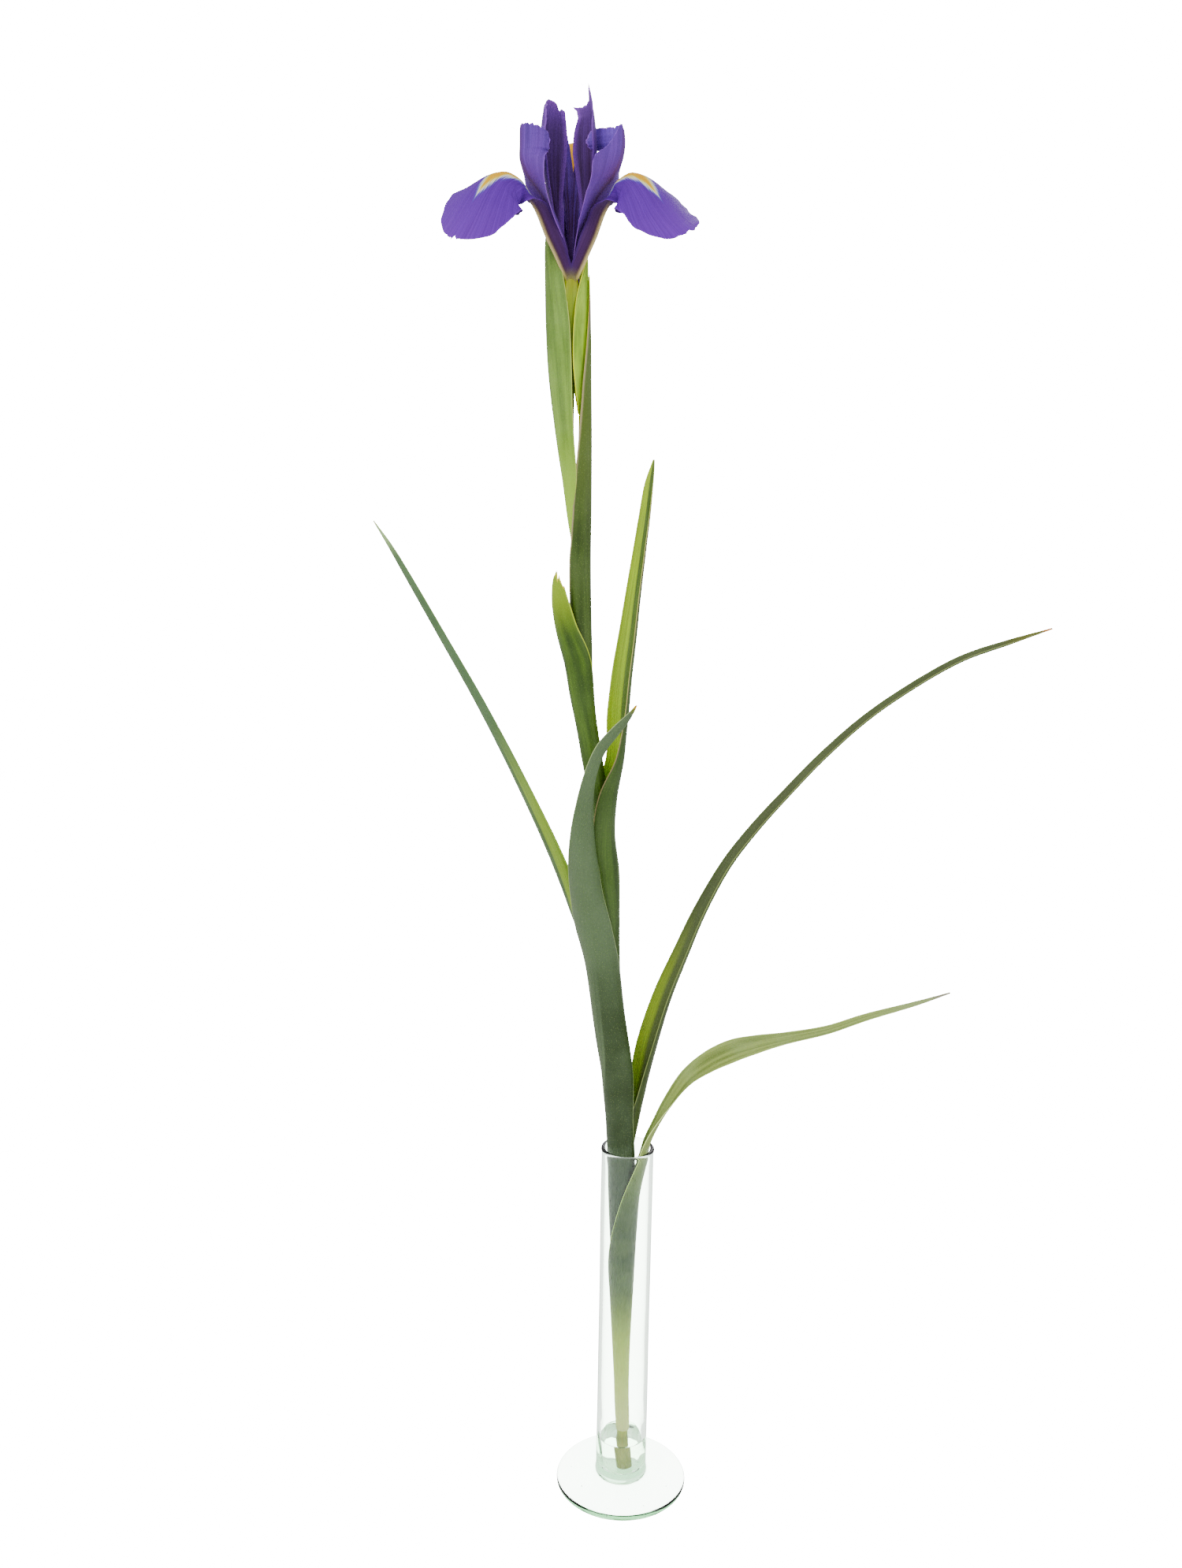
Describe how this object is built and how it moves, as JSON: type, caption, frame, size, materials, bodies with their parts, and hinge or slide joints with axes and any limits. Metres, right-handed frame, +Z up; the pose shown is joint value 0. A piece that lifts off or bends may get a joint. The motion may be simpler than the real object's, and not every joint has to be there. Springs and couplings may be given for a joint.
{
  "type": "iris in bud vase",
  "caption": "Blue-violet Dutch iris with yellow-marked falls, erect standards, spathe bracts and channelled leaves on a leaning stem, standing in a slim clear glass bud vase.",
  "frame": {"origin": "centre of the vase foot's underside", "axes": "+Z up along the vase; -Y towards the side the flower is seen from; the stem leans towards -X and the two long leaves reach out to +X"},
  "size_m": [0.2798, 0.0755, 0.5806],
  "materials": {
    "vase_glass": "clear, fire-polished",
    "water": "clear",
    "stem_green": "satin, finely ribbed",
    "ovary_green": "satin",
    "bract_green": "satin, finely veined",
    "bract_inner_green": "satin, thin",
    "leaf_green": "satin, parallel veins, grey bloom",
    "leaf_pale_green": "satin, parallel veins",
    "fall_violet": "velvety, fine radiating veins",
    "standard_violet": "velvety, veined",
    "style_violet": "velvety, veined",
    "stamen_cream": "matt"
  },
  "bodies": {
    "root": {"vase": "vase_glass", "water": "water", "stem": "stem_green", "ovary": "ovary_green", "spathe_outer": "bract_green", "spathe_inner": "bract_inner_green", "stem_bract": "bract_green", "leaf_broken": "leaf_green", "leaf_upright": "leaf_green", "leaf_front": "leaf_green", "leaf_left": "leaf_green", "leaf_long_right": "leaf_green", "leaf_low_right": "leaf_pale_green", "fall_left": "fall_violet", "fall_right": "fall_violet", "fall_back": "fall_violet", "standard_left": "standard_violet", "standard_right": "standard_violet", "style_arm_left": "style_violet", "style_arm_right": "style_violet", "style_arm_back": "style_violet", "stamen_left": "stamen_cream", "stamen_right": "stamen_cream", "stamen_back": "stamen_cream"}
  },
  "joints": []
}
